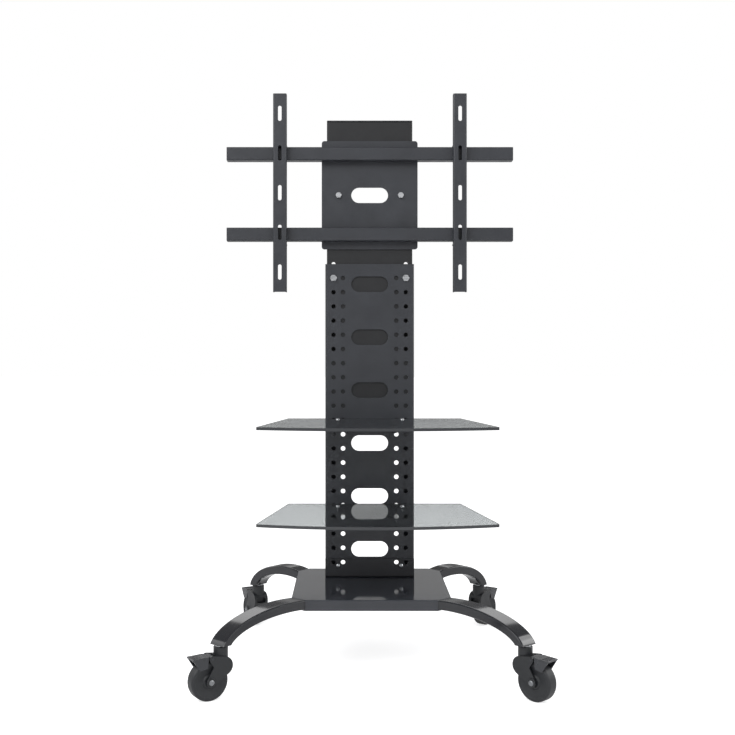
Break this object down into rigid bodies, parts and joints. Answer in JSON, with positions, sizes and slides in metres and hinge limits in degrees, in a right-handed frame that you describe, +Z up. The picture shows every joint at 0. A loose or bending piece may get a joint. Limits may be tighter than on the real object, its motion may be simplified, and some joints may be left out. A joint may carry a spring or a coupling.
{
  "type": "rolling screen floor stand",
  "caption": "Rolling floor stand for a screen: sheet-steel column with a rising mast, slotted hook arms, glass shelves, arched legs and braked swivel casters.",
  "frame": {"origin": "on the floor, midway between the casters", "axes": "+X to the right seen from the front, +Y to the rear, +Z up; the shelves point to -Y"},
  "size_m": [0.7001, 0.6755, 1.235],
  "materials": {
    "powder_coat": "satin black powder coat",
    "gloss_coat": "gloss black coat",
    "dark_coat": "satin black coat",
    "zinc": "bright zinc",
    "smoked_glass": "polished tinted glass",
    "black_plastic": "moulded",
    "wheel": "moulded tread"
  },
  "bodies": {
    "chassis": {"base_plate": "gloss_coat", "leg_front_left": "powder_coat", "leg_front_right": "powder_coat", "leg_rear_left": "powder_coat", "leg_rear_right": "powder_coat", "leg_bolt_front_left": "zinc", "leg_bolt_front_right": "zinc", "leg_bolt_rear_left": "zinc", "leg_bolt_rear_right": "zinc", "foot_bracket": "dark_coat", "outer_column": "powder_coat", "column_wall_left": "powder_coat", "column_wall_right": "powder_coat", "column_lip_left": "powder_coat", "column_lip_right": "powder_coat", "foot_screw_left": "zinc", "foot_screw_right": "zinc", "mast_lock_bolt_left": "zinc", "mast_lock_bolt_right": "zinc", "caster_stem_front_left": "zinc", "caster_stem_front_right": "zinc", "caster_stem_rear_left": "zinc", "caster_stem_rear_right": "zinc"},
    "mast": {"inner_mast": "powder_coat", "mast_cap": "black_plastic", "rail_frame": "powder_coat", "frame_bolt_left": "zinc", "frame_bolt_right": "zinc"},
    "arm_left": {"hook_arm_left": "powder_coat", "arm_lock_screw_left": "black_plastic"},
    "arm_right": {"hook_arm_right": "powder_coat", "arm_lock_screw_right": "black_plastic"},
    "upper_shelf": {"upper_shelf_glass": "smoked_glass", "upper_shelf_bracket": "powder_coat", "upper_shelf_bolt_left": "dark_coat", "upper_shelf_bolt_right": "dark_coat", "upper_shelf_glass_screw_left": "zinc", "upper_shelf_glass_screw_right": "zinc"},
    "lower_shelf": {"lower_shelf_glass": "smoked_glass", "lower_shelf_bracket": "powder_coat", "lower_shelf_bolt_left": "dark_coat", "lower_shelf_bolt_right": "dark_coat", "lower_shelf_glass_screw_left": "zinc", "lower_shelf_glass_screw_right": "zinc"},
    "caster_front_left": {"caster_fork_front_left": "black_plastic", "caster_axle_front_left": "zinc"},
    "caster_front_right": {"caster_fork_front_right": "black_plastic", "caster_axle_front_right": "zinc"},
    "caster_rear_left": {"caster_fork_rear_left": "black_plastic", "caster_axle_rear_left": "zinc"},
    "caster_rear_right": {"caster_fork_rear_right": "black_plastic", "caster_axle_rear_right": "zinc"},
    "wheel_front_left": {"caster_wheel_front_left": "wheel"},
    "wheel_front_right": {"caster_wheel_front_right": "wheel"},
    "wheel_rear_left": {"caster_wheel_rear_left": "wheel"},
    "wheel_rear_right": {"caster_wheel_rear_right": "wheel"},
    "pedal_front_left": {"brake_pedal_front_left": "black_plastic"},
    "pedal_front_right": {"brake_pedal_front_right": "black_plastic"},
    "pedal_rear_left": {"brake_pedal_rear_left": "black_plastic"},
    "pedal_rear_right": {"brake_pedal_rear_right": "black_plastic"}
  },
  "joints": [
    {"name": "mast_height", "type": "slide", "parent": "chassis", "child": "mast", "axis": [0, 0, 1], "range_m": [-0.032, 0.16]},
    {"name": "upper_shelf_height", "type": "slide", "parent": "chassis", "child": "upper_shelf", "axis": [0, 0, 1], "range_m": [0, 0.192]},
    {"name": "lower_shelf_height", "type": "slide", "parent": "chassis", "child": "lower_shelf", "axis": [0, 0, 1], "range_m": [-0.064, 0.128]},
    {"name": "arm_left_spread", "type": "slide", "parent": "mast", "child": "arm_left", "axis": [-1, 0, 0], "range_m": [-0.05, 0.1]},
    {"name": "arm_right_spread", "type": "slide", "parent": "mast", "child": "arm_right", "axis": [1, 0, 0], "range_m": [-0.05, 0.1]},
    {"name": "caster_swivel_front_left", "type": "hinge", "parent": "chassis", "child": "caster_front_left", "pos_m": [-0.291, -0.2785, 0.088], "axis": [0, 0, 1], "continuous": true},
    {"name": "caster_swivel_front_right", "type": "hinge", "parent": "chassis", "child": "caster_front_right", "pos_m": [0.291, -0.2785, 0.088], "axis": [0, 0, 1], "continuous": true},
    {"name": "caster_swivel_rear_left", "type": "hinge", "parent": "chassis", "child": "caster_rear_left", "pos_m": [-0.266, 0.2785, 0.088], "axis": [0, 0, 1], "continuous": true},
    {"name": "caster_swivel_rear_right", "type": "hinge", "parent": "chassis", "child": "caster_rear_right", "pos_m": [0.266, 0.2785, 0.088], "axis": [0, 0, 1], "continuous": true},
    {"name": "wheel_spin_front_left", "type": "hinge", "parent": "caster_front_left", "child": "wheel_front_left", "pos_m": [-0.31414, -0.29241, 0.0375], "axis": [-0.515, 0.8572, 0], "continuous": true},
    {"name": "wheel_spin_front_right", "type": "hinge", "parent": "caster_front_right", "child": "wheel_front_right", "pos_m": [0.31009, -0.29759, 0.0375], "axis": [-0.7071, -0.7071, 0], "continuous": true},
    {"name": "wheel_spin_rear_left", "type": "hinge", "parent": "caster_rear_left", "child": "wheel_rear_left", "pos_m": [-0.2795, 0.30188, 0.0375], "axis": [0.866, 0.5, 0], "continuous": true},
    {"name": "wheel_spin_rear_right", "type": "hinge", "parent": "caster_rear_right", "child": "wheel_rear_right", "pos_m": [0.28262, 0.29978, 0.0375], "axis": [0.788, -0.6157, 0], "continuous": true},
    {"name": "brake_front_left", "type": "hinge", "parent": "caster_front_left", "child": "pedal_front_left", "pos_m": [-0.31157, -0.29086, 0.08], "axis": [0.515, -0.8572, 0], "range_deg": [0, 10]},
    {"name": "brake_front_right", "type": "hinge", "parent": "caster_front_right", "child": "pedal_front_right", "pos_m": [0.30797, -0.29547, 0.08], "axis": [0.7071, 0.7071, 0], "range_deg": [0, 10]},
    {"name": "brake_rear_left", "type": "hinge", "parent": "caster_rear_left", "child": "pedal_rear_left", "pos_m": [-0.278, 0.29929, 0.08], "axis": [-0.866, -0.5, 0], "range_deg": [0, 10]},
    {"name": "brake_rear_right", "type": "hinge", "parent": "caster_rear_right", "child": "pedal_rear_right", "pos_m": [0.28078, 0.29741, 0.08], "axis": [-0.788, 0.6157, 0], "range_deg": [0, 10]}
  ]
}
